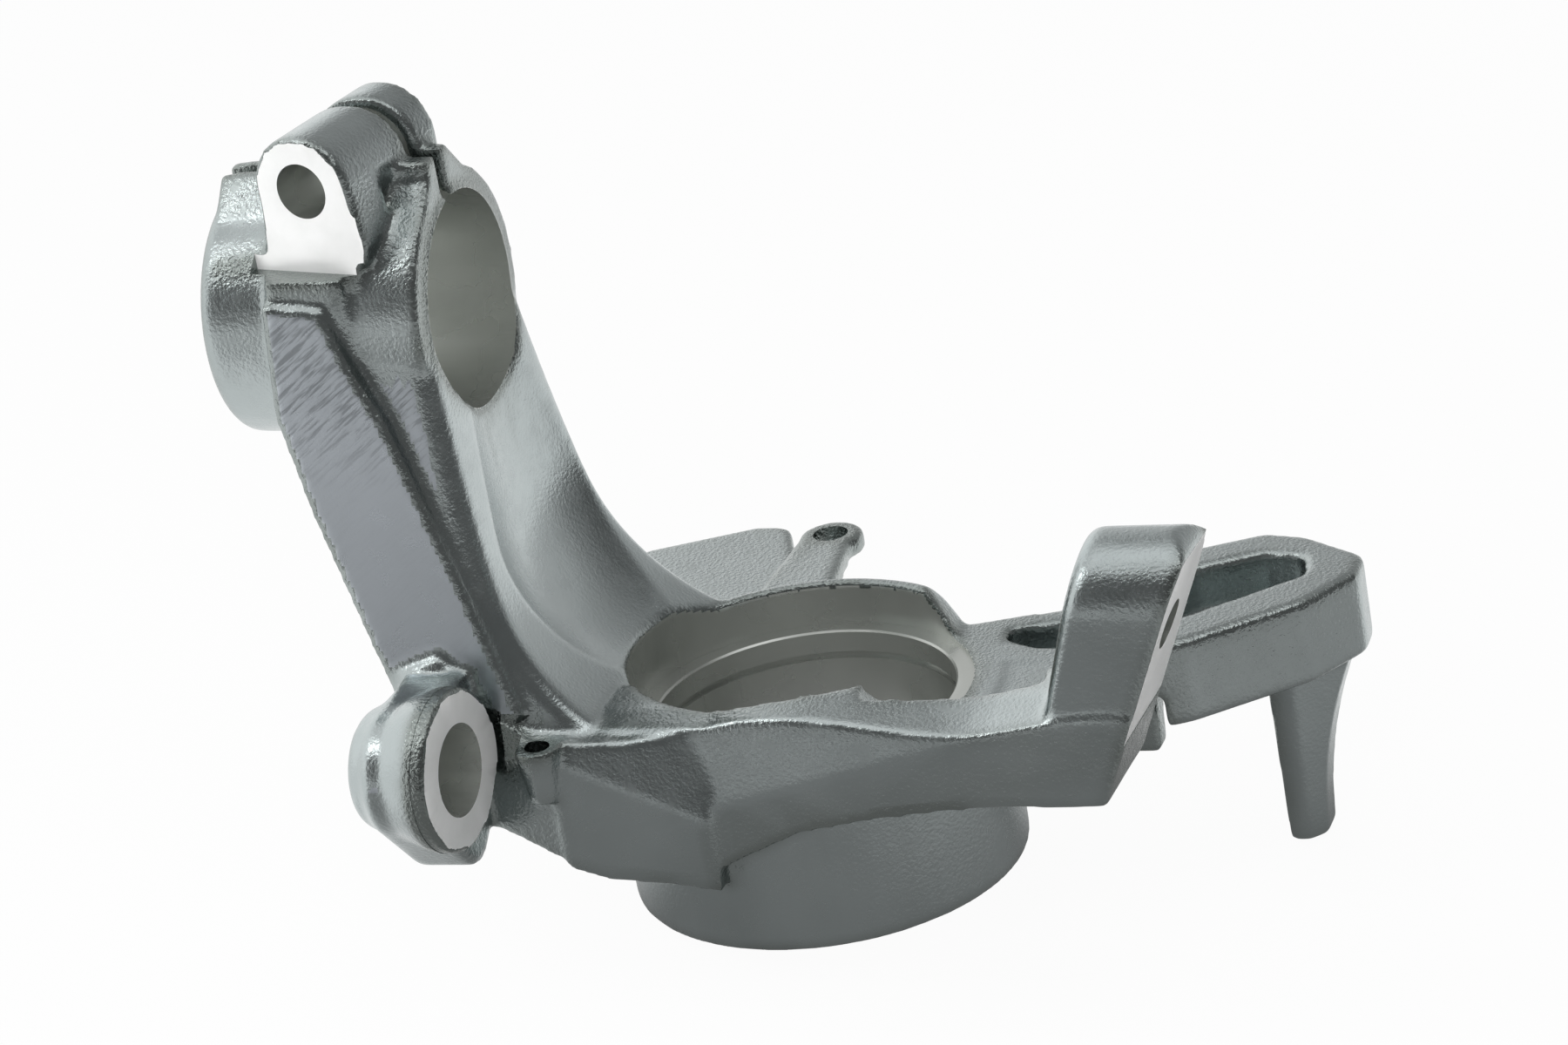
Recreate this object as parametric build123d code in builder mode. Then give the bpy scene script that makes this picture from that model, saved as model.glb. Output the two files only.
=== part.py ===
from build123d import *
from math import cos, sin, radians, sqrt
import os

# Steering knuckle: one iron casting. A bearing housing carries the strut clamp on its arm, the
# steering arm, the ball joint lug and the two arms of the brake caliper carrier.
# Frame, in millimetres: Z is the hub axis and +Z points into the car, -X points up the strut,
# and -Y is the side of the steering arm. The origin is on the outer end face of the boss.

# ---- bearing housing ----
boss_radius = 47.5          # turned boss round the bearing
bearing_radius = 36.0       # bearing seat
lip_radius = 33.0           # shoulder that stops the bearing
lip_height = 3.0
counterbore_radius = 40.4   # above the bearing, up to the rim
ledge_height = 43.2         # where the counterbore starts
rim_height = 54.0
rim_width = 2.6             # flat top of the rim
rim_round = 8.5
groove_height = 36.7        # retaining ring groove
groove_width = 1.8
groove_depth = 1.3
boss_chamfer = 0.6
saddle_height = 44.0        # low side of the rim, towards the ball joint
saddle_turn = 8.5           # the saddle's slope, turned about the hub axis
saddle_start = 21.5
saddle_near = 42.0

# ---- front wall of the housing ----
wall_face = 51.0            # its flat face, ahead of the hub axis
wall_top = 58.0
wall_rise = 2.6             # its top climbs towards the bore
wall_run = 13.0
wall_back = 24.0
wall_end = 78.0
root_step = 2.4             # the steering arm's root stands proud of the wall
root_edge = -8.0            # where that step is
root_end = -45.0
shoulder_foot = 38.2        # lowest point of the sloped shoulder above the wall
shoulder_depth = 4.5

# ---- strut clamp ----
clamp_height = 147.5        # strut axis above the boss face
clamp_face = -66.0          # lower end of the clamp
clamp_length = 56.0
clamp_outer_radius = 31.5
clamp_draft = 2.2
strut_radius = 25.7
slot_width = 3.6
slot_shift = 1.0            # slot centre, ahead of the strut axis
spine_rise = 37.0           # ridge on both sides of the slot, above the strut axis
spine_width = 11.0
lip_near = 9.0
ear_radius = 13.0
ear_rise = 37.5             # pinch bolt above the strut axis
ear_back = 25.0             # its head face behind the clamp face
ear_near = 25.0             # its head face ahead of the strut axis
ear_length = 38.6
ear_turn = 13.0             # bolt axis against the strut axis
pear_width = 23.0           # face below the bolt head
pear_foot = 168.0
pinch_radius = 6.7

# ---- strut arm ----
arm_near_top = 30.5         # half widths, at the strut axis and at the foot
arm_near_foot = 45.5
arm_far_top = 27.0
arm_far_foot = 34.0
arm_foot_height = 66.0
arm_back = -103.0           # back of the arm at the strut axis
arm_root = -28.0            # where its front meets the housing
trough_radius = 70.0        # across the trough
trough_bend = 50.0          # where it turns into the housing
trough_half = 34.0
rib_proud = 2.6             # flat rib on the near side
rib_foot = 56.0
rib_foot_back = -78.0

# ---- steering arm ----
arm_face = 48.5             # its front, ahead of the hub axis
tie_centre = (-59.2, -70.0, 59.5)
tie_turn = 5.0
tie_radius = 19.2
tie_shoulder_radius = 16.5
tie_shoulder = 11.8
tie_neck_radius = 14.3
tie_length = 23.0
tie_chamfer = 2.0
tie_mouth_radius = 10.9
tie_taper = 8.2
sensor_place = (-47.0, -53.2)
sensor_top = 57.0
sensor_radius = 5.6
sensor_hole_radius = 3.0
sensor_depth = 10.0
arm_behind_sensor = -44.0

# ---- ball joint lug ----
lug_lean = 23.0             # its face against the hub axis
lug_turn = 2.0
lug_face = (102.9, -37.0, 77.5)
lug_radius = 16.0
lug_middle = -34.0
lug_top = 99.0
lug_round = 4.0
lug_hole_radius = 6.0

# ---- caliper carrier ----
carrier_top = 45.0
carrier_web = 13.0          # depth of the lower arm where it leaves the housing
carrier_depth = 21.8        # and at the prong
pocket_depth = 12.0
prong_tip = -24.0
upper_top = 42.0
upper_depth = 20.5
eye_place = (-16.3, 78.4)
eye_top = 50.0
eye_thickness = 5.0
eye_radius = 8.2
eye_hole_radius = 4.4
eye_foot_near = -6.0        # its neck widens to here on the rim
eye_foot_far = -26.0


def outline(*points):
    """A closed face through the points, in the running sketch."""
    Polygon(*points, align=None)


def shoulder_plane(face, far_end):
    """The sloped band over a front face: it leans back from a foot line that ends at far_end, and
    both faces' bands meet at the same height behind them."""
    low = Vector(-13, -face, shoulder_foot)
    along = Vector(far_end[0], -face, far_end[1]) - low
    up = Vector(-13, shoulder_depth - wall_face, wall_top) - low
    normal = along.cross(up)
    if normal.Y > 0:
        normal = -normal
    return Plane(origin=low, x_dir=along, z_dir=normal)


# The turned housing, with its rounded outer rim.
with BuildPart() as housing:
    rim_edge = counterbore_radius + rim_width
    with BuildSketch(Plane.XZ):
        with BuildLine():
            Line((0, 0), (boss_radius - boss_chamfer, 0))
            Line((boss_radius - boss_chamfer, 0), (boss_radius, boss_chamfer))
            Line((boss_radius, boss_chamfer), (boss_radius, rim_height - rim_round))
            ThreePointArc((boss_radius, rim_height - rim_round),
                          (boss_radius - 0.28 * (boss_radius - rim_edge), rim_height - 0.42 * rim_round),
                          (rim_edge, rim_height))
            Line((rim_edge, rim_height), (0, rim_height))
            Line((0, rim_height), (0, 0))
        make_face()
    revolve(axis=Axis.Z)

# Plane of the ball joint's machined face.
lug_normal = Vector(cos(radians(lug_lean)) * cos(radians(lug_turn)),
                    -cos(radians(lug_lean)) * sin(radians(lug_turn)), -sin(radians(lug_lean)))
lug_across = Vector(sin(radians(lug_turn)), cos(radians(lug_turn)), 0)
lug_plane = Plane(origin=lug_face, x_dir=lug_across, z_dir=lug_normal)

# The flat front wall, from the steering arm's root to the ball joint lug.
with BuildPart() as wall:
    with BuildSketch(Plane.XZ.offset(wall_face)):
        with BuildLine():
            Polyline((root_edge - 4, 22), (12, 32.5), (30, 35.7), (52, 38.2), (wall_end, 39.5))
            ThreePointArc((wall_end, 39.5), (wall_end + 11, 44.5), (wall_end + 15.5, 54))
            Line((wall_end + 15.5, 54), (wall_end + 18, wall_top + 2))
            Spline((wall_end + 18, wall_top + 2), (76, wall_top + 2), (55, wall_top - 1), (34, wall_top),
                   (14, wall_top + 1.5), (root_edge, wall_top - 1))
            Polyline((root_edge, wall_top - 1), (-36, wall_top - 2), (-36, 24), (root_edge - 4, 22))
        make_face()
    extrude(amount=sqrt(wall_run ** 2 + wall_rise ** 2), dir=(0, wall_run, wall_rise))
    extrude(wall.faces().sort_by(Axis.Y)[-1], amount=wall_face - wall_run - wall_back, dir=(0, 1, 0))
    split(bisect_by=shoulder_plane(wall_face, (58, 57.2)), keep=Keep.BOTTOM)
    split(bisect_by=lug_plane, keep=Keep.BOTTOM)

# Root of the steering arm: the same wall, deeper and slightly proud.
root_face = wall_face + root_step
with BuildPart() as root:
    with BuildSketch(Plane.XZ.offset(root_face)):
        outline((root_edge, 18.5), (-20, 20.5), (-35, 21.8), (root_end, 25), (root_end, 56), (-41, 56.5),
                (-29, 56), (root_edge, 56.5))
    extrude(amount=-(root_face - 30))
    split(bisect_by=shoulder_plane(root_face, (-41, 51)), keep=Keep.BOTTOM)

# Steering arm behind the tie rod boss, and the tongue that carries the boss.
with BuildPart() as steering_arm:
    with BuildSketch(Plane.XZ.offset(arm_face)):
        outline((root_end + 6, 57), (-50, 58), (-57.8, 63), (-64, 72), (-70, 77), (-80, 74), (-84, 62),
                (-78, 44), (-70, 35), (-63.4, 33.2), (-54.5, 34.3), (root_end, 25), (root_end + 6, 23))
    extrude(amount=-(arm_face - 28))
with BuildPart() as tongue:
    with BuildSketch(Plane.YZ.offset(-63)):
        with Locations((tie_centre[1], tie_centre[2])):
            Circle(tie_neck_radius + 1)
        with Locations((-59, 39.5)):
            Circle(9)
        with Locations((-42, 60)):
            Circle(13.5)
        make_hull()
    extrude(amount=-17)
    chamfer(tongue.edges().group_by(Axis.X)[0], 3)

# Tie rod boss: two turned steps about an axis that leans a little outwards.
tie_axis = Vector(cos(radians(tie_turn)), -sin(radians(tie_turn)), 0)
tie_section = Plane(origin=tie_centre, x_dir=(0, 0, 1), z_dir=Vector(0, 0, 1).cross(tie_axis))
with BuildPart() as tie_boss:
    with BuildSketch(tie_section):
        outline((0, 0), (tie_radius, 0), (tie_radius, -5), (tie_shoulder_radius, -tie_shoulder),
                (tie_neck_radius, -tie_shoulder), (tie_neck_radius, tie_chamfer - tie_length),
                (tie_neck_radius - tie_chamfer, -tie_length), (0, -tie_length))
    revolve(axis=Axis(tie_centre, tie_axis))
    add(tongue.part)
    # tie rod taper
    with BuildSketch(Plane(origin=tie_centre, x_dir=(0, 0, 1), z_dir=tie_axis)):
        Circle(tie_mouth_radius)
    extrude(amount=-tie_length - 5, taper=tie_taper, mode=Mode.SUBTRACT)

# Boss of the wheel speed sensor's clip, on the root's end.
with BuildPart() as sensor:
    with BuildSketch(Plane.XY.offset(sensor_top)):
        with Locations(sensor_place, (sensor_place[0] + 2, arm_behind_sensor)):
            Circle(sensor_radius)
        make_hull()
    extrude(amount=-sensor_depth - 4, taper=8)

# Strut arm: its side outline, trimmed to its width.
with BuildPart() as strut_arm:
    with BuildSketch(Plane.XZ):
        with BuildLine():
            Spline((clamp_face, clamp_height), (clamp_face + 3.7, clamp_height - 25.5),
                   (clamp_face + 7.8, clamp_height - 49.5), (clamp_face + 12.5, clamp_height - 67),
                   (clamp_face + 22, clamp_height - 82), (arm_root, rim_height - 1))
            Polyline((arm_root, rim_height - 1), (arm_root - 2, 30), (arm_root - 22, 32), (arm_root - 44, 48),
                     (arm_back + 19.5, clamp_height - 77.5), (arm_back + 12, clamp_height - 56.5),
                     (arm_back + 6, clamp_height - 37.5), (arm_back + 2, clamp_height - 21.5),
                     (arm_back, clamp_height), (clamp_face, clamp_height))
        make_face()
    extrude(amount=80, both=True)
    arm_rise = clamp_height - arm_foot_height
    slope_near = (arm_near_foot - arm_near_top) / arm_rise
    slope_far = (arm_far_foot - arm_far_top) / arm_rise
    with BuildSketch(Plane.YZ):
        outline((-arm_near_top, clamp_height), (-arm_near_foot - slope_near * arm_foot_height, 0),
                (arm_far_foot + slope_far * arm_foot_height, 0), (arm_far_top, clamp_height))
    extrude(amount=200, both=True, mode=Mode.INTERSECT)
    fillet(strut_arm.edges().filter_by(GeomType.LINE, reverse=True), 5)

# Trough along the front of the strut arm: a barrel-shaped tool that follows it into the housing.
with BuildPart() as trough:
    with BuildLine() as trough_path:
        start = Vector(clamp_face - 0.6, 0, clamp_height + 8.5)
        bend = Vector(clamp_face + 2.2, 0, clamp_height - 49.5)
        Line(start, bend)
        centre = bend + Vector(trough_bend * cos(radians(3)), 0, trough_bend * sin(radians(3)))
        mid = centre + trough_bend * Vector(-cos(radians(38)), 0, -sin(radians(38)))
        end = centre + trough_bend * Vector(-cos(radians(82)), 0, -sin(radians(82)))
        ThreePointArc(bend, mid, end)
    with BuildSketch(Plane(origin=start, x_dir=(0, 1, 0), z_dir=(bend - start).normalized())):
        drop = trough_radius - sqrt(trough_radius ** 2 - trough_half ** 2)
        with BuildLine():
            ThreePointArc((-trough_half, drop), (0, 0), (trough_half, drop))
            Polyline((trough_half, drop), (trough_half, 40), (-trough_half, 40), (-trough_half, drop))
        make_face()
    sweep(path=trough_path.line)

# Flat rib along the near side of the strut arm.
with BuildPart() as rib:
    with BuildSketch(Plane.XZ):
        outline((arm_back - 0.4, clamp_height + 12.7), (arm_back - 0.5, clamp_height - 13),
                (arm_back + 6, clamp_height - 37.5), (rib_foot_back - 4, rib_foot + 10),
                (rib_foot_back, rib_foot), (rib_foot_back + 27, rib_foot + 6),
                (clamp_face - 10, clamp_height - 15.9),
                (clamp_face - 17, clamp_height - 2.5), (clamp_face - 22.5, clamp_height + 11))
    extrude(amount=80)
    with BuildSketch(Plane.YZ):
        outline((-arm_near_top - rib_proud, clamp_height + 13.5),
                (-arm_near_foot - rib_proud, arm_foot_height),
                (-arm_near_foot - rib_proud - 2, rib_foot - 1),
                (-20, rib_foot - 1), (-20, clamp_height + 13.5))
    extrude(amount=200, both=True, mode=Mode.INTERSECT)

# Strut clamp: a drafted tube with a ridge along its slot and two ears for the pinch bolt.
clamp_end = Plane(origin=(clamp_face, 0, clamp_height), x_dir=(0, 1, 0), z_dir=(1, 0, 0))
ear_axis = Vector(-sin(radians(ear_turn)), -cos(radians(ear_turn)), 0)
ear_plane = Plane(origin=(clamp_face - ear_back, -ear_near, clamp_height + ear_rise),
                  x_dir=(cos(radians(ear_turn)), -sin(radians(ear_turn)), 0), z_dir=ear_axis)
with BuildPart() as ears:
    with BuildSketch(ear_plane) as ear_side:
        Circle(ear_radius)
        with Locations((0, -12)):
            Rectangle(pear_width, 30)
    extrude(amount=-ear_length)
    fillet(ears.edges().group_by(Axis.Y)[-1], 2.5)
with BuildPart() as clamp:
    with BuildSketch(clamp_end):
        Circle(clamp_outer_radius)
    extrude(amount=-clamp_length, taper=clamp_draft)
    chamfer(clamp.edges().group_by(Axis.X)[0], 1.8)
    with BuildSketch(clamp_end) as ridge:
        outline((-spine_width / 2 - 15, spine_rise - 15), (-spine_width / 2, spine_rise),
                (spine_width / 2 - 1, spine_rise), (spine_width / 2 + 14, spine_rise - 15))
        fillet(ridge.vertices().filter_by(lambda v: v.Z > clamp_height + spine_rise - 7), 4)
    extrude(amount=-clamp_length + 2, taper=2)
    with BuildSketch(clamp_end):
        with Locations((-2, spine_rise / 2)):
            Rectangle(2 * lip_near - 4, spine_rise)
    extrude(amount=-13)
    add(ears.part)
    with BuildSketch(Plane.XZ.offset(arm_near_top + 0.5)):
        outline((arm_back + 0.6, clamp_height + 18.2), (arm_back + 19.6, clamp_height + 17.4),
                (arm_back + 19.6, clamp_height - 7.5), (arm_back + 0.6, clamp_height - 7.5))
    extrude(amount=-20)
    with BuildSketch(Plane.XZ.offset(arm_near_top - 2.5)):
        outline((arm_back - 0.3, clamp_height + 19.6), (arm_back + 21.3, clamp_height + 18.7),
                (arm_back + 21.3, clamp_height - 7.5), (arm_back - 0.3, clamp_height - 7.5))
    extrude(amount=-20)

# Ball joint lug: a tongue with a round head and one leaning machined face.
with BuildPart() as lug:
    lug_foot = saddle_height - 6
    lug_head = lug_top - lug_radius
    lug_front = lug_face[0]
    with BuildSketch(Plane.YZ.offset(lug_front - 37)):
        with Locations((lug_middle, lug_head)):
            Circle(lug_radius)
        with Locations((lug_middle, (lug_head + lug_foot) / 2)):
            Rectangle(2 * lug_radius, lug_head - lug_foot)
    extrude(amount=60)
    with BuildSketch(Plane.XZ):
        outline((lug_front - 33, lug_foot), (lug_front - 28.4, lug_top - 35.4), (lug_front - 22.4, lug_head),
                (lug_front - 17, lug_top + 1), (lug_front + 2, lug_top + 1), (lug_front + 6, lug_top - 1.5),
                (lug_front + 8, lug_top - 5), (lug_front + 15, lug_top - 11), (lug_front + 15, lug_foot))
    extrude(amount=-lug_middle + 2 * lug_radius, mode=Mode.INTERSECT)
    lug_crown = lug.edges().filter_by(lambda e: e.center().Z > lug_top - 9 and e.center().X < lug_front - 11)
    fillet(lug_crown, lug_round)
    split(bisect_by=lug_plane, keep=Keep.BOTTOM)

# Floor between the housing, the lug and the carrier arm.
with BuildPart() as floor_web:
    with BuildSketch(Plane.XY.offset(saddle_height)):
        outline((0, 2 - wall_face), (wall_end + 2, 2 - wall_face), (wall_end, -20), (60, 18),
                (30, bearing_radius), (0, bearing_radius))
    extrude(amount=-6)

# Lower carrier arm with its pocket, the prong and a short tab.
with BuildPart() as lower_arm:
    with BuildSketch(Plane.XY.offset(carrier_top)) as lower_plan:
        outline((30, 16), (57, 14), (75, 17), (88, 23), (112, 43.5), (121.3, 59.5), (120.8, 70),
                (104, 81.5), (93, 84), (77, 76), (64, 58), (52, 44.5), (30, 36))
        fillet(lower_plan.vertices().filter_by(lambda v: v.X > 40), 6)
    extrude(amount=-carrier_web)
    with BuildSketch(Plane.XY.offset(carrier_top)) as end_plan:
        outline((81, 19), (88, 23), (112, 43.5), (121.3, 59.5), (120.8, 70), (104, 81.5), (93, 84), (81, 78))
        fillet(end_plan.vertices().filter_by(lambda v: v.X > 82), 6)
    extrude(amount=-carrier_depth)
    fillet(lower_arm.edges().group_by(Axis.Z)[0], 2)
    with BuildSketch(Plane.XY.offset(carrier_top)) as pocket_plan:
        outline((42, 24), (58, 23.5), (84, 38), (108, 60), (105.5, 70.5), (95, 72), (80, 64), (68, 50),
                (55, 37), (42, 33))
        fillet(pocket_plan.vertices().filter_by(lambda v: v.X > 50), 3)
    extrude(amount=-pocket_depth, mode=Mode.SUBTRACT)
    with BuildSketch(Plane.XY.offset(carrier_top - carrier_depth + 4)):
        outline((97.5, 50), (104, 50), (119, 60), (119, 70), (97.5, 70))
    with BuildSketch(Plane.XY.offset(2)):
        outline((97.5, 51.5), (103.2, 51.5), (109.5, 57.5), (109.5, 68), (97.5, 68))
    with BuildSketch(Plane.XY.offset(prong_tip)):
        outline((97.5, 53), (102.5, 53), (106.5, 57), (106.5, 66), (97.5, 66))
    loft()
    fillet(lower_arm.edges().group_by(Axis.Z)[0], 1.5)
    with BuildSketch(Plane.XY.offset(carrier_top - carrier_web + 2)):
        with Locations((73, 26)):
            Rectangle(11, 9)
    extrude(amount=-18, taper=2)

# Upper carrier arm.
with BuildPart() as upper_arm:
    with BuildSketch(Plane.XY.offset(upper_top)) as upper_plan:
        outline((-30, 20), (-62, 50), (-76, 80), (-70, 89), (-44, 102), (-35, 101), (-24, 72), (-10, 40))
        fillet(upper_plan.vertices().filter_by(lambda v: v.Y > 45), 5)
    extrude(amount=-upper_depth)
    fillet(upper_arm.edges().group_by(Axis.Z)[0], 3)
    with BuildSketch(Plane.XY.offset(upper_top - upper_depth + 4)):
        with Locations((-58, 86)):
            RectangleRounded(22, 16, 3)
    with BuildSketch(Plane.XY.offset(prong_tip)):
        with Locations((-52, 86)):
            RectangleRounded(10, 12, 2)
    loft()

# Eye on the upper arm that holds the hose or cable clip.
with BuildPart() as eye:
    with BuildSketch(Plane.XY.offset(eye_top)):
        with Locations(eye_place):
            Circle(eye_radius)
        outline((eye_place[0] - 7.7, eye_place[1] - 4), (eye_place[0] + 6.3, eye_place[1] - 4),
                (eye_foot_near, boss_radius - 6), (eye_foot_far, boss_radius - 12))
    extrude(amount=-eye_thickness)

with BuildPart() as knuckle:
    add(housing.part)
    add(wall.part)
    add(root.part)
    add(floor_web.part)
    add(lower_arm.part)
    add(upper_arm.part)
    add(lug.part)
    # low side of the rim: it slopes down towards the ball joint
    turn = radians(saddle_turn)
    saddle_side = Plane(origin=(0, 0, 0), x_dir=(cos(turn), sin(turn), 0), z_dir=(sin(turn), -cos(turn), 0))
    with BuildSketch(saddle_side.offset(saddle_near)):
        outline((saddle_start, rim_height + 8), (saddle_start, rim_height + 6), (saddle_start + 5, rim_height),
                (saddle_start + 12.5, saddle_height + 0.5), (64, saddle_height), (64, rim_height + 8))
    extrude(amount=-saddle_near - 60, mode=Mode.SUBTRACT)
    add(strut_arm.part)
    add(trough.part, mode=Mode.SUBTRACT)
    add(rib.part)
    add(clamp.part)
    add(steering_arm.part)
    add(tie_boss.part)
    add(sensor.part)
    add(eye.part)
    # bearing seat, counterbore, groove
    with BuildSketch(Plane.XZ):
        outline((0, -1), (lip_radius, -1), (lip_radius, lip_height), (bearing_radius, lip_height),
                (bearing_radius, groove_height - groove_width / 2),
                (bearing_radius + groove_depth, groove_height - groove_width / 2),
                (bearing_radius + groove_depth, groove_height + groove_width / 2),
                (bearing_radius, groove_height + groove_width / 2), (bearing_radius, ledge_height),
                (counterbore_radius, ledge_height), (counterbore_radius, wall_top + 30), (0, wall_top + 30))
    revolve(axis=Axis.Z, mode=Mode.SUBTRACT)
    # strut bore, slot and pinch bolt hole
    with BuildSketch(clamp_end.offset(30)):
        Circle(strut_radius)
    extrude(amount=-30 - clamp_length - 10, mode=Mode.SUBTRACT)
    with BuildSketch(clamp_end.offset(1)):
        with Locations((-slot_shift, 40)):
            Rectangle(slot_width, 80)
    extrude(amount=-clamp_length - 5, mode=Mode.SUBTRACT)
    with BuildSketch(ear_plane.offset(20)):
        Circle(pinch_radius)
    extrude(amount=-80, mode=Mode.SUBTRACT)
    # sensor clip hole, ball joint hole, eye
    with BuildSketch(Plane.XY.offset(sensor_top)):
        with Locations(sensor_place):
            Circle(sensor_hole_radius)
    extrude(amount=-sensor_depth, mode=Mode.SUBTRACT)
    with BuildSketch(lug_plane):
        Circle(lug_hole_radius)
    extrude(amount=-40, mode=Mode.SUBTRACT)
    with BuildSketch(Plane.XY.offset(eye_top + 10)):
        with Locations(eye_place):
            Circle(eye_hole_radius)
    extrude(amount=-40, mode=Mode.SUBTRACT)

knuckle.part.label = "knuckle"
os.makedirs("parts", exist_ok=True)
export_step(knuckle.part, "parts/knuckle.step")
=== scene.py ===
from math import cos, radians, sin

import bmesh
import bpy
import numpy as np
from mathutils import Matrix, Vector


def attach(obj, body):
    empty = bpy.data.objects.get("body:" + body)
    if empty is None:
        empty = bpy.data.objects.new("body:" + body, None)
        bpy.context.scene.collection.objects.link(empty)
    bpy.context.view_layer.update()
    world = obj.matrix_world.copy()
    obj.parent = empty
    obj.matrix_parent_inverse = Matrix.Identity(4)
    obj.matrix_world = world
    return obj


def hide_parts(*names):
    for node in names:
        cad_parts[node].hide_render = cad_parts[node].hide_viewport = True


# Steering knuckle. The casting starts as the CAD solid. Its machined openings are closed, its skin is
# rounded as a sand mould leaves it, and the machined faces and bores are then cut into it again.

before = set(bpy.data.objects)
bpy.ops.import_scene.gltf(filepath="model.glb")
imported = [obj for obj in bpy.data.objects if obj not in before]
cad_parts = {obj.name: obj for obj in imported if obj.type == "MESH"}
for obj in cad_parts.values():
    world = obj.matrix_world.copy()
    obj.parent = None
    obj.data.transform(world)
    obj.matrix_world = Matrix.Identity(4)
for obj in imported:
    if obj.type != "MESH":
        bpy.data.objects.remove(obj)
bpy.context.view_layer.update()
MM = 0.001
UP = Vector((0, 0, 1))

# ---- sizes and places in millimetres, turns in degrees, as in the part's source ----
LIP_RADIUS, SEAT_RADIUS, GROOVE_RADIUS, COUNTERBORE_RADIUS = 33.0, 36.0, 37.3, 40.4
LIP_TOP = 3.0               # heights in the bearing bore, above the boss's end
GROOVE_LOW, GROOVE_HIGH = 35.8, 37.6
SEAT_TOP = 43.2
SEAT_CHAMFER = 0.5
STRUT_RADIUS = 25.7
STRUT_HEIGHT = 147.5
CLAMP_SLOT = 3.6            # the clamp's slot is this wide
CLAMP_SLOT_CENTRE = (-94, -1, 190)
PINCH_RADIUS = 6.7
PINCH_FACE = (-91.0, -25.0, 185.0)
PINCH_TURN = 13.0
TIE_FACE = (-59.2, -70.0, 59.5)
TIE_TURN = 5.0
TIE_FACE_RADIUS = 20.4
LUG_FACE = (102.9, -37.0, 77.5)
LUG_LEAN = 23.0
LUG_TURN = 2.0
LUG_HOLE_RADIUS = 6.0
SENSOR = (-47.0, -53.2, 57.0)
SENSOR_RADIUS = 3.0
EYE = (-16.3, 78.4, 50.0)
EYE_RADIUS = 4.4

# ---- the cast skin ----
VOXEL = 0.85                # grid of the skin
ROUNDINGS = 14              # how many times the grid is smoothed
KEPT_SHARE = 0.42           # share of the grid's faces that is kept
SKIM = 0.2                  # how far the machined faces lie inside the skin
SHARP_TURN = 34             # faces that meet at more than this keep a sharp edge

# ---- directions that the cuts and the finishes share ----
PINCH_SIDE = Vector((cos(radians(PINCH_TURN)), -sin(radians(PINCH_TURN)), 0))
PINCH_AXIS = Vector((-sin(radians(PINCH_TURN)), -cos(radians(PINCH_TURN)), 0))
TIE_AXIS = Vector((cos(radians(TIE_TURN)), -sin(radians(TIE_TURN)), 0))
LUG_AXIS = Vector((cos(radians(LUG_LEAN)) * cos(radians(LUG_TURN)),
                   -cos(radians(LUG_LEAN)) * sin(radians(LUG_TURN)), -sin(radians(LUG_LEAN))))
LUG_ACROSS = Vector((sin(radians(LUG_TURN)), cos(radians(LUG_TURN)), 0))
STRUT_AXIS = Vector((1, 0, 0))
STRUT_CENTRE = (0, 0, STRUT_HEIGHT)
RIB_NORMAL = Vector((0, -1, 0.184)).normalized()      # the flat rib on the strut arm's near side


# ---- camera ----
VIEW_AZIMUTH, VIEW_ELEVATION, VIEW_ROLL = 20.97, 22.6, -9.84    # fitted to the photograph's circles
VIEW_DISTANCE = 1400.0      # millimetres from the frame's origin
PIXELS_PER_MM = 4.802       # at the origin
PICTURE_SIZE = (1800.0, 1200.0)
ORIGIN_PIXEL = (957.2, 985.2)
SENSOR_WIDTH = 36.0


def make_camera():
    """The photograph's view: from the steering arm's side, above the hub, with a small roll."""
    azimuth, elevation, roll = radians(VIEW_AZIMUTH), radians(VIEW_ELEVATION), radians(VIEW_ROLL)
    back = Vector((sin(azimuth) * cos(elevation), -cos(azimuth) * cos(elevation), sin(elevation)))
    level = Vector((cos(azimuth), sin(azimuth), 0))
    upright = back.cross(level)
    right = cos(roll) * level + sin(roll) * upright
    up = -sin(roll) * level + cos(roll) * upright
    to_right = (ORIGIN_PIXEL[0] - PICTURE_SIZE[0] / 2) / PIXELS_PER_MM
    to_foot = (ORIGIN_PIXEL[1] - PICTURE_SIZE[1] / 2) / PIXELS_PER_MM
    data = bpy.data.cameras.new("camera")
    camera = bpy.data.objects.new("camera", data)
    bpy.context.scene.collection.objects.link(camera)
    place = VIEW_DISTANCE * back - to_right * right + to_foot * up
    turn = Matrix((right, up, back)).transposed().to_4x4()
    camera.matrix_world = Matrix.Translation(place * MM) @ turn
    data.sensor_width = SENSOR_WIDTH
    data.lens = PIXELS_PER_MM * VIEW_DISTANCE / PICTURE_SIZE[0] * data.sensor_width
    data.clip_start, data.clip_end = 0.1, 20.0
    bpy.context.scene.camera = camera


make_camera()


# ---- mesh helpers, all in millimetres ----
CAD_WELD, TOOL_WELD = 1e-6, 1e-7    # vertices closer than this are one, in metres


def weld(made, distance, outward):
    """Joins doubled vertices and, where asked, turns the faces outward."""
    work = bmesh.new()
    work.from_mesh(made.data)
    bmesh.ops.remove_doubles(work, verts=work.verts, dist=distance)
    if outward:
        bmesh.ops.recalc_face_normals(work, faces=work.faces)
    work.to_mesh(made.data)
    work.free()


def closed_solid(name, vertices, faces):
    mesh = bpy.data.meshes.new(name)
    mesh.from_pydata([Vector(v) * MM for v in vertices], [], faces)
    mesh.validate()
    made = bpy.data.objects.new(name, mesh)
    bpy.context.scene.collection.objects.link(made)
    weld(made, TOOL_WELD, True)
    return made


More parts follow.
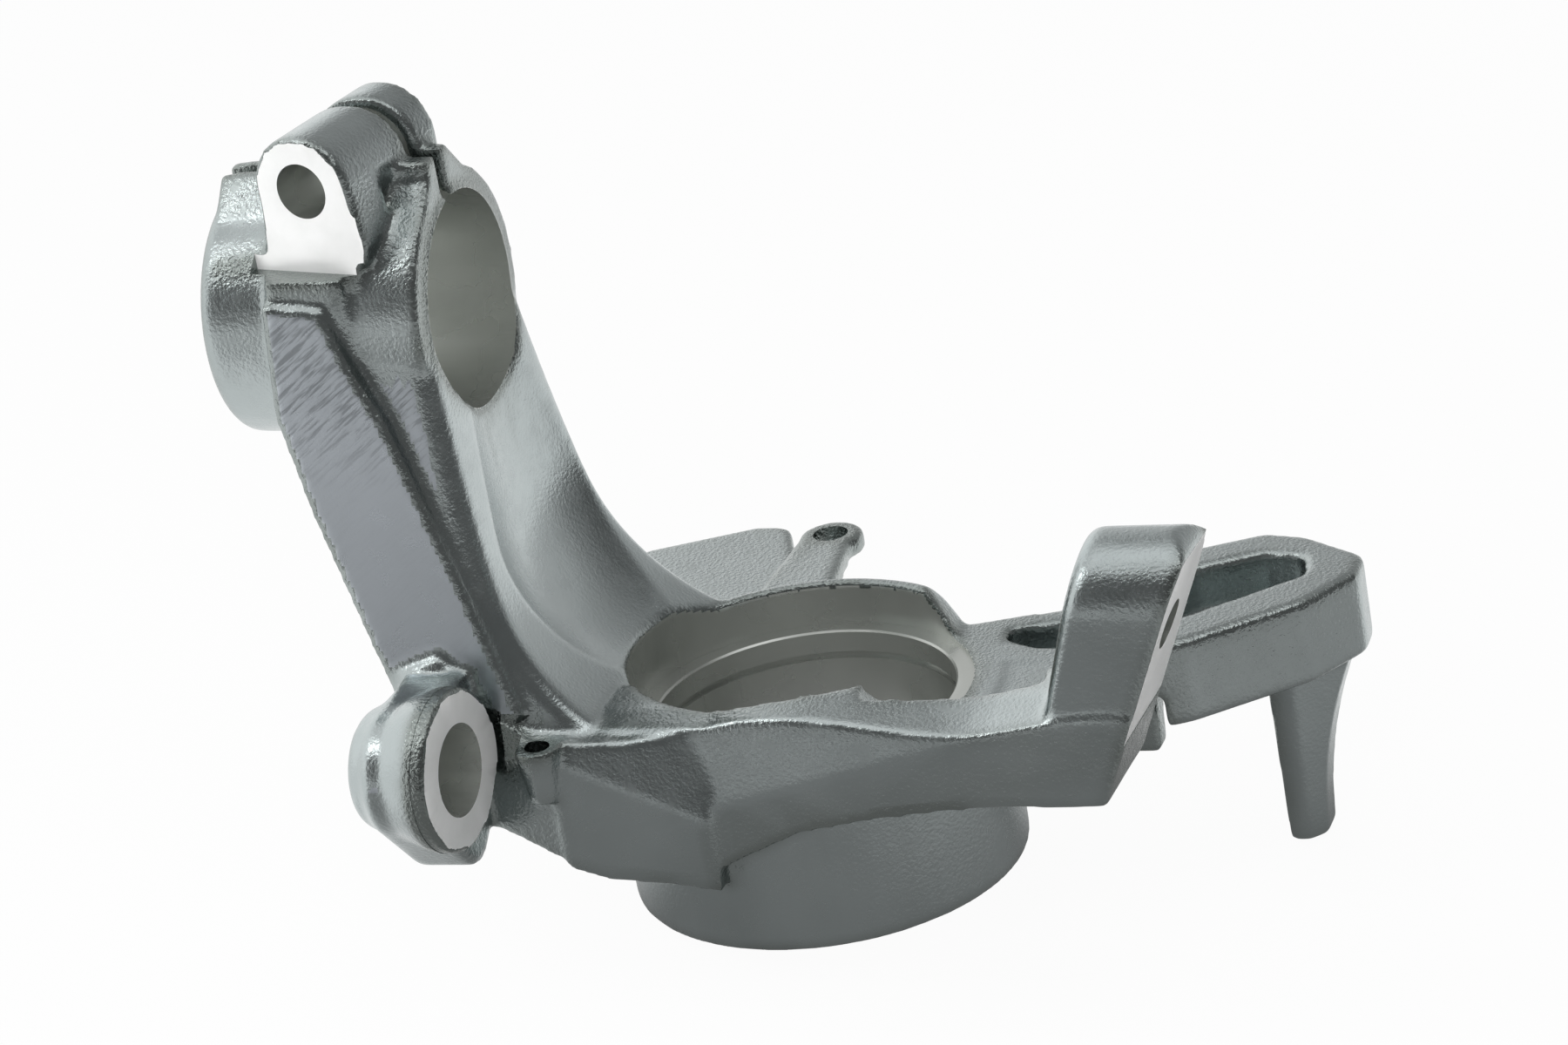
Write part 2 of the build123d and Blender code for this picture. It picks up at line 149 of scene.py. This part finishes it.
def turned(name, origin, axis, profile, steps=128):
    """A solid of revolution. Its profile is (radius, distance along the axis), from axis to axis or
    back to where it starts."""
    axis = Vector(axis).normalized()
    side = axis.orthogonal().normalized()
    other = axis.cross(side)
    vertices, faces, rings = [], [], []
    for radius, along in profile:
        centre = Vector(origin) + axis * along
        if radius == 0:
            rings.append([len(vertices)])
            vertices.append(centre)
            continue
        rings.append(range(len(vertices), len(vertices) + steps))
        for k in range(steps):
            angle = 2 * np.pi * k / steps
            vertices.append(centre + radius * (cos(angle) * side + sin(angle) * other))
    for low, high in zip(rings, rings[1:]):
        for k in range(steps):
            n = (k + 1) % steps
            if len(low) == 1:
                faces.append((low[0], high[k], high[n]))
            elif len(high) == 1:
                faces.append((low[k], low[n], high[0]))
            else:
                faces.append((low[k], low[n], high[n], high[k]))
    return closed_solid(name, vertices, faces)


def rod(name, origin, axis, radius, low, high, steps=96):
    """A cylinder along axis between two distances from origin."""
    return turned(name, origin, axis, [(0, low), (radius, low), (radius, high), (0, high)], steps)


def prism(name, near, far):
    """A solid between two outlines with the same number of corners."""
    count = len(near)
    faces = [tuple(range(count)), tuple(range(2 * count - 1, count - 1, -1))]
    for k in range(count):
        n = (k + 1) % count
        faces.append((k, n, count + n, count + k))
    return closed_solid(name, near + far, faces)


def box(name, centre, sizes, x_dir=(1, 0, 0), z_dir=(0, 0, 1)):
    """A block with its sides along x_dir, z_dir and their normal."""
    z = Vector(z_dir).normalized()
    x = Vector(x_dir).normalized()
    y = z.cross(x)
    corners = [(i, j, k) for k in (-0.5, 0.5) for j in (-0.5, 0.5) for i in (-0.5, 0.5)]
    vertices = [Vector(centre) + x * i * sizes[0] + y * j * sizes[1] + z * k * sizes[2]
                for i, j, k in corners]
    faces = [(0, 2, 3, 1), (4, 5, 7, 6), (0, 1, 5, 4), (2, 6, 7, 3), (0, 4, 6, 2), (1, 3, 7, 5)]
    return closed_solid(name, vertices, faces)


def apply_modifiers(target):
    graph = bpy.context.evaluated_depsgraph_get()
    mesh = bpy.data.meshes.new_from_object(target.evaluated_get(graph))
    target.modifiers.clear()
    target.data = mesh


def join(target, tool, operation):
    """Adds or cuts one closed solid, and removes the tool."""
    change = target.modifiers.new("join", "BOOLEAN")
    change.operation = operation
    change.solver = "MANIFOLD"
    change.object = tool
    apply_modifiers(target)
    bpy.data.objects.remove(tool)


# ---- the casting ----
FILL_TOP = -0.3             # fills end this far below the faces that they close
ROOT_NEAR = [(-43, -53.1, 25.5), (-43, -53.1, 54), (-43, -40, 54), (-43, -40, 25.5)]
ROOT_FAR = [(-66, -49.3, 36), (-66, -49.3, 66), (-66, -40, 66), (-66, -40, 36)]
EAR_FOOT = [(-12.2, 4), (-13.6, -15.5), (-13.0, -18), (14.2, -18), (15.3, -13), (12.6, 3)]
EAR_FOOT_DEPTH = 13


def closed_casting():
    """The CAD solid with its bores filled, and with two forms that the skin runs over."""
    casting = bpy.data.objects.new("casting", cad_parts["knuckle"].data.copy())
    bpy.context.scene.collection.objects.link(casting)
    weld(casting, CAD_WELD, False)
    ear = [[Vector(PINCH_FACE) + PINCH_SIDE * u + UP * v - PINCH_AXIS * t for u, v in EAR_FOOT]
           for t in (0, EAR_FOOT_DEPTH)]
    fills = [
        rod("fill", (0, 0, 0), UP, 38.5, -FILL_TOP, 43.0),
        rod("fill", STRUT_CENTRE, STRUT_AXIS, STRUT_RADIUS + 0.2, -121.7, -65.2),
        rod("fill", PINCH_FACE, PINCH_AXIS, PINCH_RADIUS + 0.6, -38.3, FILL_TOP),
        turned("fill", TIE_FACE, TIE_AXIS, [(0, -22.5), (8.4, -22.5), (11.4, FILL_TOP), (0, FILL_TOP)]),
        rod("fill", LUG_FACE, LUG_AXIS, LUG_HOLE_RADIUS + 0.5, -21.5, FILL_TOP),
        rod("fill", SENSOR, UP, SENSOR_RADIUS + 0.4, -10.5, FILL_TOP),
        rod("fill", EYE, UP, EYE_RADIUS + 0.4, -4.7, FILL_TOP),
        prism("blend", ROOT_NEAR, ROOT_FAR),      # the root runs smoothly into the steering arm
        prism("pad", *ear),                       # the near ear's face widens towards its foot
    ]
    for fill in fills:
        join(casting, fill, "UNION")
    return casting


def cast_skin(casting):
    """Even small faces over the whole form, with every edge rounded as a sand mould leaves it."""
    remesh = casting.modifiers.new("grid", "REMESH")
    remesh.mode = "VOXEL"
    remesh.voxel_size = VOXEL * MM
    remesh.use_smooth_shade = True
    smooth = casting.modifiers.new("round", "SMOOTH")
    smooth.factor = 0.5
    smooth.iterations = ROUNDINGS
    fewer = casting.modifiers.new("fewer", "DECIMATE")
    fewer.ratio = KEPT_SHARE
    apply_modifiers(casting)


def machined_cuts(casting):
    """Cuts the machined faces and bores. The cuts reach past the casting on their open sides."""
    hub = [(0, -2), (LIP_RADIUS, -2), (LIP_RADIUS, LIP_TOP), (SEAT_RADIUS, LIP_TOP),
           (SEAT_RADIUS, GROOVE_LOW), (GROOVE_RADIUS, GROOVE_LOW), (GROOVE_RADIUS, GROOVE_HIGH),
           (SEAT_RADIUS, GROOVE_HIGH), (SEAT_RADIUS, 42.7), (SEAT_RADIUS + SEAT_CHAMFER, SEAT_TOP),
           (COUNTERBORE_RADIUS, SEAT_TOP), (COUNTERBORE_RADIUS, 90), (0, 90)]
    relief = [(19.0, -3.4), (22, -3.4), (22, 1), (19.0, 1), (19.0, -3.4)]
    taper = [(0, -40), (5.14, -40), (10.93, 0.2), (0, 0.2)]
    cuts = [
        turned("cut", (0, 0, 0), UP, hub, 192),
        rod("cut", (0, 0, 0), UP, 54, -6, SKIM),
        rod("cut", STRUT_CENTRE, STRUT_AXIS, STRUT_RADIUS, -140, -40, 160),
        box("cut", CLAMP_SLOT_CENTRE, (80, CLAMP_SLOT, 60)),
        rod("cut", PINCH_FACE, PINCH_AXIS, PINCH_RADIUS, -80, 20, 64),
        box("cut", Vector(PINCH_FACE) + PINCH_AXIS * (5 - SKIM) - UP * 2, (34, 10, 36), PINCH_SIDE),
        rod("cut", TIE_FACE, TIE_AXIS, TIE_FACE_RADIUS, -SKIM, 6),
        turned("cut", TIE_FACE, TIE_AXIS, relief),
        turned("cut", TIE_FACE, TIE_AXIS, taper),
        box("cut", Vector(LUG_FACE) + LUG_AXIS * (5 - SKIM), (44, 52, 10), LUG_ACROSS, LUG_AXIS),
        rod("cut", LUG_FACE, LUG_AXIS, LUG_HOLE_RADIUS, -40, 5, 64),
        rod("cut", SENSOR, UP, SENSOR_RADIUS, -10, 4, 48),
        rod("cut", EYE, UP, EYE_RADIUS, -30, 5, 48),
    ]
    for cut in cuts:
        join(casting, cut, "DIFFERENCE")


# ---- which face has which finish, and where the skin is rounded ----
SKIN, TURNED, MILLED, GROUND = range(4)
# face, axis, radius of its bore, how far the face reaches from the bore's axis
MILLED_FACES = [(PINCH_FACE, PINCH_AXIS, PINCH_RADIUS, 24),
                (TIE_FACE, TIE_AXIS, 11, 21),
                (LUG_FACE, LUG_AXIS, LUG_HOLE_RADIUS, 34)]
BORE_SLACK = 0.1            # a face this far outside a bore's radius still belongs to the bore


def radial(points, origin, axis):
    """Distance of each point from a line, and how far along it the point lies."""
    away = points - np.array(origin)
    along = away @ np.array(axis)
    return np.linalg.norm(away - along[:, None] * np.array(axis), axis=1), along


def finish_faces(casting):
    """Gives each face its finish by where it lies and how it is turned."""
    mesh = casting.data
    count = len(mesh.polygons)
    centres, normals = np.zeros(count * 3), np.zeros(count * 3)
    mesh.polygons.foreach_get("center", centres)
    mesh.polygons.foreach_get("normal", normals)
    centres, normals = centres.reshape(-1, 3) / MM, normals.reshape(-1, 3)
    index = np.full(count, SKIN)
    hub, height = radial(centres, (0, 0, 0), UP)
    index[(hub < COUNTERBORE_RADIUS + BORE_SLACK) & (height > -1) & (height < 70)] = TURNED
    index[(hub < 60) & (np.abs(height - SKIM) < 0.05) & (normals[:, 2] < -0.99)] = TURNED
    strut, along = radial(centres, STRUT_CENTRE, STRUT_AXIS)
    index[(strut < STRUT_RADIUS + BORE_SLACK) & (along < -60)] = TURNED
    for face, axis, bore, reach in MILLED_FACES:
        away, depth = radial(centres, face, axis)
        flat = (np.abs(depth + SKIM) < 0.06) & (normals @ np.array(axis) > 0.98) & (away < reach)
        index[flat] = MILLED
        index[(away < bore + BORE_SLACK) & (depth < 0) & (depth > -42) & ~flat] = TURNED
    rib = normals @ np.array(RIB_NORMAL) > 0.997
    rib &= (centres[:, 0] < -50) & (centres[:, 1] < -32) & (centres[:, 2] > 60)
    index[rib] = GROUND
    mesh.polygons.foreach_set("material_index", index.astype(np.int32))
    mesh.update()


def rounded_measure(casting):
    """A value for each vertex: 0 on flats, 1 along rounded edges, and fading beside them."""
    spreads, fade, gain = 34, 0.965, 1.6
    mesh = casting.data
    count = len(mesh.vertices)
    normals, ends = np.zeros(count * 3), np.zeros(len(mesh.edges) * 2, int)
    mesh.vertices.foreach_get("normal", normals)
    mesh.edges.foreach_get("vertices", ends)
    normals, (first, second) = normals.reshape(-1, 3), ends.reshape(-1, 2).T
    neighbours = np.bincount(ends, minlength=count).clip(1)
    bend = 1 - np.sum(normals[first] * normals[second], axis=1)
    bends = np.maximum(np.bincount(first, bend, count), np.bincount(second, bend, count))
    value = np.minimum(1, bends * 3)
    for _ in range(spreads):
        around = np.bincount(first, value[second], count) + np.bincount(second, value[first], count)
        value = np.maximum(value * 0.5 + 0.5 * around / neighbours, value * fade)
    layer = mesh.attributes.new("rounded", "FLOAT", "POINT")
    layer.data.foreach_set("value", np.clip(value * gain, 0, 1).astype(np.float32))


casting = closed_casting()
cast_skin(casting)
machined_cuts(casting)
rounded_measure(casting)
for polygon in casting.data.polygons:
    polygon.use_smooth = True
casting.data.set_sharp_from_angle(angle=radians(SHARP_TURN))


# ---- node helpers ----
class Nodes:
    """Adds nodes to a node tree and links them."""

    def __init__(self, tree):
        self.tree = tree

    def add(self, kind, **inputs):
        """A new node. Each name is an input of it, or else a setting of it."""
        node = self.tree.nodes.new(kind)
        for key, value in inputs.items():
            if key.replace("_", " ") in node.inputs:
                self.feed(node.inputs[key.replace("_", " ")], value)
            else:
                setattr(node, key, value)
        return node

    def feed(self, socket, value):
        if isinstance(value, bpy.types.NodeSocket):
            self.tree.links.new(value, socket)
        else:
            socket.default_value = value

    def maths(self, operation, first, second):
        node = self.add("ShaderNodeMath", operation=operation)
        for socket, value in zip(node.inputs, (first, second)):
            self.feed(socket, value)
        return node.outputs[0]

    def span(self, value, low, high, to_low=0.0, to_high=1.0):
        node = self.add("ShaderNodeMapRange", Value=value, From_Min=low, From_Max=high,
                        To_Min=to_low, To_Max=to_high)
        return node.outputs["Result"]

    def ramp(self, value, low, high, start=0.0, end=1.0, smooth=False):
        """A colour that goes from low to high while value goes from start to end."""
        node = self.add("ShaderNodeValToRGB", Fac=value)
        if smooth:
            node.color_ramp.interpolation = "EASE"
        first, last = node.color_ramp.elements
        first.position, last.position = start, end
        first.color, last.color = (*low, 1), (*high, 1)
        return node.outputs["Color"]

    def eased(self, value, start, end, low=0.0, high=1.0):
        """A grey level that runs smoothly from low to high while value goes from start to end."""
        return self.ramp(self.span(value, start, end), (low,) * 3, (high,) * 3, smooth=True)

    def along(self, parts, direction):
        """How far a place or a direction points along a level direction."""
        return self.maths("ADD", self.maths("MULTIPLY", parts["X"], direction[0]),
                          self.maths("MULTIPLY", parts["Y"], direction[1]))


class Finish(Nodes):
    """A metal's material, with its node tree and shader."""

    def __init__(self, name, metallic):
        self.material = bpy.data.materials.new(name)
        self.material.use_nodes = True
        super().__init__(self.material.node_tree)
        self.shader = self.tree.nodes["Principled BSDF"]
        self.set("Metallic", metallic)

    def set(self, name, value):
        self.feed(self.shader.inputs[name], value)

    def noise(self, scale, detail, rough=0.5):
        """Noise with scale grains to a metre."""
        place = self.add("ShaderNodeTexCoord").outputs["Object"]
        texture = self.add("ShaderNodeTexNoise", Vector=place, Scale=scale, Detail=detail,
                           Roughness=rough)
        return texture.outputs["Fac"]

    def mottled(self, scale, detail, dark, pale):
        return self.ramp(self.noise(scale, detail), dark, pale, 0.3, 0.7)

    def uneven(self, scale, low, high):
        return self.span(self.noise(scale, 3), 0.3, 0.7, low, high)

    def tinted(self, colour, tint, share):
        """The colour, multiplied by the tint as far as share says."""
        mix = self.add("ShaderNodeMix", data_type="RGBA", blend_type="MULTIPLY")
        for place, value in ((0, share), (6, colour), (7, (*tint, 1))):
            self.feed(mix.inputs[place], value)
        return mix.outputs[2]

    def bump(self, height, strength, distance, normal=None):
        node = self.add("ShaderNodeBump", Height=height, Strength=strength, Distance=distance)
        if normal is not None:
            self.feed(node.inputs["Normal"], normal)
        return node.outputs["Normal"]


# ---- finishes ----
def cast_iron():
    """Sand-cast iron, blasted and thinly coated: a dark gloss with an orange-peel skin. The skin is
    fine on the flats and coarse along the rounded edges, where its colour is darkened as painted shade."""
    m = Finish("cast_skin", metallic=1.0)
    rounded = m.add("ShaderNodeAttribute", attribute_name="rounded").outputs["Fac"]
    iron = m.mottled(26, 4, (0.43, 0.475, 0.475), (0.51, 0.56, 0.56))
    # painted shade: the colour is darkened along the rounded edges, standing in for the dark band they
    # show
    m.set("Base Color", m.tinted(iron, (0.40, 0.40, 0.36), m.span(rounded, 0.08, 0.60, 0.0, 0.62)))
    m.set("Roughness", m.uneven(210, 0.19, 0.30))
    grain = m.bump(m.noise(2600, 2, 0.6), 0.25, 0.0001)
    m.set("Normal", m.bump(m.noise(1150, 2), m.span(rounded, 0.0, 0.6, 0.22, 1.0), 0.00035, grain))
    return m.material


def turned_iron():
    """Bores left by a boring tool: satin, a little stained and not quite even."""
    m = Finish("turned_bores", metallic=0.8)
    m.set("Base Color", m.mottled(30, 3, (0.50, 0.52, 0.49), (0.60, 0.62, 0.59)))
    m.set("Roughness", m.uneven(60, 0.24, 0.32))
    m.set("Normal", m.bump(m.noise(140, 2), 0.05, 0.0002))
    return m.material


def milled_iron():
    """Freshly milled faces: bright, matt and fine."""
    m = Finish("milled_faces", metallic=0.35)
    m.set("Base Color", m.mottled(120, 4, (0.90, 0.91, 0.90), (0.98, 0.985, 0.98)))
    m.set("Roughness", 0.42)
    m.set("Normal", m.bump(m.noise(900, 3), 0.10, 0.0002))
    return m.material


def ground_iron():
    """The rib's flat, dressed with a grinder: fine and even, and scored aslant towards the clamp."""
    m = Finish("ground_flat", metallic=1.0)
    place = m.add("ShaderNodeTexCoord").outputs["Object"]
    height = m.add("ShaderNodeSeparateXYZ", Vector=place).outputs["Z"]
    slanted = m.add("ShaderNodeMapping", Vector=place, Rotation=(0, radians(-52), 0))
    drawn = m.add("ShaderNodeMapping", Vector=slanted.outputs["Vector"], Scale=(1, 1, 0.025))
    lines = m.add("ShaderNodeTexNoise", Vector=drawn.outputs["Vector"], Scale=1300, Detail=3.0)
    lines = lines.outputs["Fac"]
    upper = m.span(height, 0.116, 0.136, 0.05, 1.0)       # the scores fade below the clamp
    scored = m.maths("MULTIPLY", upper, m.span(lines, 0.50, 0.38, 0.0, 0.6))
    steel = m.mottled(22, 4, (0.55, 0.595, 0.63), (0.61, 0.655, 0.70))
    m.set("Base Color", m.tinted(steel, (0.35, 0.35, 0.35), scored))
    m.set("Roughness", m.uneven(180, 0.26, 0.34))
    m.set("Normal", m.bump(lines, upper, 0.00012, m.bump(m.noise(2200, 2), 0.22, 0.0001)))
    return m.material


casting.data.materials.clear()
for material in (cast_iron(), turned_iron(), milled_iron(), ground_iron()):     # SKIN to GROUND
    casting.data.materials.append(material)
finish_faces(casting)

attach(casting, "root")
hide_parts("knuckle")


# ---- studio, in metres ----
TABLE_NORMAL = Vector((0.165, 0, 1)).normalized()     # the knuckle lies on its boss and one prong
TABLE_POINT = Vector((0, 0, -7.85)) * MM
TABLE_HALF = 4.0
TABLE_GLOW = 0.95           # share of the table that is white by itself, where the camera or metal sees it
WINDOW_SIDE = (-0.96, 0.27)   # a wide bright window stands on this side of the room
DIM_SIDE = (0.643, -0.766)    # the room is dim on this side, near and to the right
DIM_START, DIM_END = -0.08, -0.01     # where the table fades into it
DIM = 0.76                  # how much of the table's light is lost there
ROOM = 0.13                 # light of the room's dark parts
LAMP_DISTANCE = 1.4
LAMP_AIM = Vector((0, 0, 70)) * MM


def seen_rays(n):
    """1 for camera rays, and 1 for camera, glossy and transmission rays."""
    path = n.add("ShaderNodeLightPath").outputs
    mirror = n.maths("MAXIMUM", path["Is Glossy Ray"], path["Is Transmission Ray"])
    return path["Is Camera Ray"], n.maths("MAXIMUM", path["Is Camera Ray"], mirror)


def make_table():
    """A white table under the boss's rim and the prong, with a faint shadow of both. Its near right
    part, which only the metal sees as dim, has painted shade in its glow for the room's dark side."""
    h = TABLE_HALF
    mesh = bpy.data.meshes.new("floor")
    mesh.from_pydata([(-h, -h, 0), (h, -h, 0), (h, h, 0), (-h, h, 0)], [], [(0, 1, 2, 3)])
    floor = bpy.data.objects.new("floor", mesh)
    bpy.context.scene.collection.objects.link(floor)
    across = Vector((0, 1, 0)).cross(TABLE_NORMAL)
    turn = Matrix((across, Vector((0, 1, 0)), TABLE_NORMAL)).transposed().to_4x4()
    floor.matrix_world = Matrix.Translation(TABLE_POINT) @ turn
    material = bpy.data.materials.new("table")
    material.use_nodes = True
    material.node_tree.nodes.clear()
    n = Nodes(material.node_tree)
    camera, seen = seen_rays(n)
    place = n.add("ShaderNodeTexCoord").outputs["Object"]
    parts = n.add("ShaderNodeSeparateXYZ", Vector=place).outputs
    away = n.add("ShaderNodeVectorMath", operation="LENGTH")
    n.feed(away.inputs[0], place)
    distance = away.outputs["Value"]
    # painted shade: the table's glow as the metal sees it is darkened near and to the right, and less so
    # far away and on the right
    toward = n.maths("SUBTRACT", n.along(parts, DIM_SIDE), n.maths("MULTIPLY", distance, 0.25))
    near = n.eased(toward, DIM_START, DIM_END)
    paler = n.maths("MAXIMUM", n.eased(distance, 0.4, 0.9, high=0.5),
                    n.eased(parts["X"], 0.10, 0.22, high=0.25))
    painted_shade = n.maths("MULTIPLY", near, n.maths("SUBTRACT", 1.0, paler))
    level = n.maths("SUBTRACT", 1.0, n.maths("MULTIPLY", painted_shade, DIM))
    white = n.add("ShaderNodeEmission", Strength=n.maths("MAXIMUM", camera, level))
    matt = n.add("ShaderNodeBsdfDiffuse", Color=(0.9, 0.9, 0.9, 1))
    mix = n.add("ShaderNodeMixShader", Fac=n.maths("MULTIPLY", seen, TABLE_GLOW))
    n.feed(mix.inputs[1], matt.outputs[0])
    n.feed(mix.inputs[2], white.outputs[0])
    n.add("ShaderNodeOutputMaterial", Surface=mix.outputs[0])
    mesh.materials.append(material)


def make_world():
    """White to the camera. The metal sees a room that is bright on the left, pale overhead and
    behind the table, and dim in front of it and on the right."""
    world = bpy.data.worlds.new("studio")
    bpy.context.scene.world = world
    world.use_nodes = True
    world.node_tree.nodes.clear()
    n = Nodes(world.node_tree)
    camera, _ = seen_rays(n)
    place = n.add("ShaderNodeTexCoord").outputs["Generated"]
    parts = n.add("ShaderNodeSeparateXYZ", Vector=place).outputs
    window = n.eased(n.along(parts, WINDOW_SIDE), 0.27, 0.72)
    above = n.maths("MULTIPLY", n.eased(parts["Z"], 0.75, 0.97),
                    n.eased(parts["X"], 0.1, -0.2, low=0.6))
    front_left = n.maths("MULTIPLY", n.eased(parts["X"], 0.05, -0.3),
                         n.eased(parts["Z"], 0.4, 0.05, high=0.20))
    behind = n.maths("MULTIPLY", n.eased(parts["Y"], 0.3, 0.8),
                     n.eased(parts["Z"], 0.55, 0.10, low=0.22, high=0.46))
    glow = n.maths("MAXIMUM", n.maths("MAXIMUM", window, behind),
                   n.maths("MAXIMUM", above, front_left))
    level = n.maths("MAXIMUM", camera, n.maths("ADD", glow, ROOM))
    room = n.add("ShaderNodeBackground", Strength=level, Color=(1, 1, 1, 1))
    n.add("ShaderNodeOutputWorld", Surface=room.outputs[0])


def softbox(name, direction, size, power, mirrored=True):
    """A rectangular lamp that faces the knuckle. Where it isn't mirrored, it lights only what is matt."""
    data = bpy.data.lights.new(name, "AREA")
    data.shape = "RECTANGLE"
    data.size, data.size_y = size
    data.energy = power
    lamp = bpy.data.objects.new(name, data)
    bpy.context.scene.collection.objects.link(lamp)
    toward = Vector(direction).normalized()
    lamp.location = LAMP_AIM + toward * LAMP_DISTANCE
    lamp.rotation_mode = "QUATERNION"
    lamp.rotation_quaternion = toward.to_track_quat("Z", "Y")
    lamp.visible_glossy = mirrored


make_table()
make_world()
softbox("key", (-0.56, -0.34, 0.76), (0.32, 0.42), 1.5)
softbox("fill", (0.05, -0.85, 0.50), (1.2, 1.0), 12.0, mirrored=False)
softbox("right", (0.42, -0.10, 0.90), (0.8, 0.6), 1.4)
bpy.context.scene.view_settings.view_transform = "Standard"
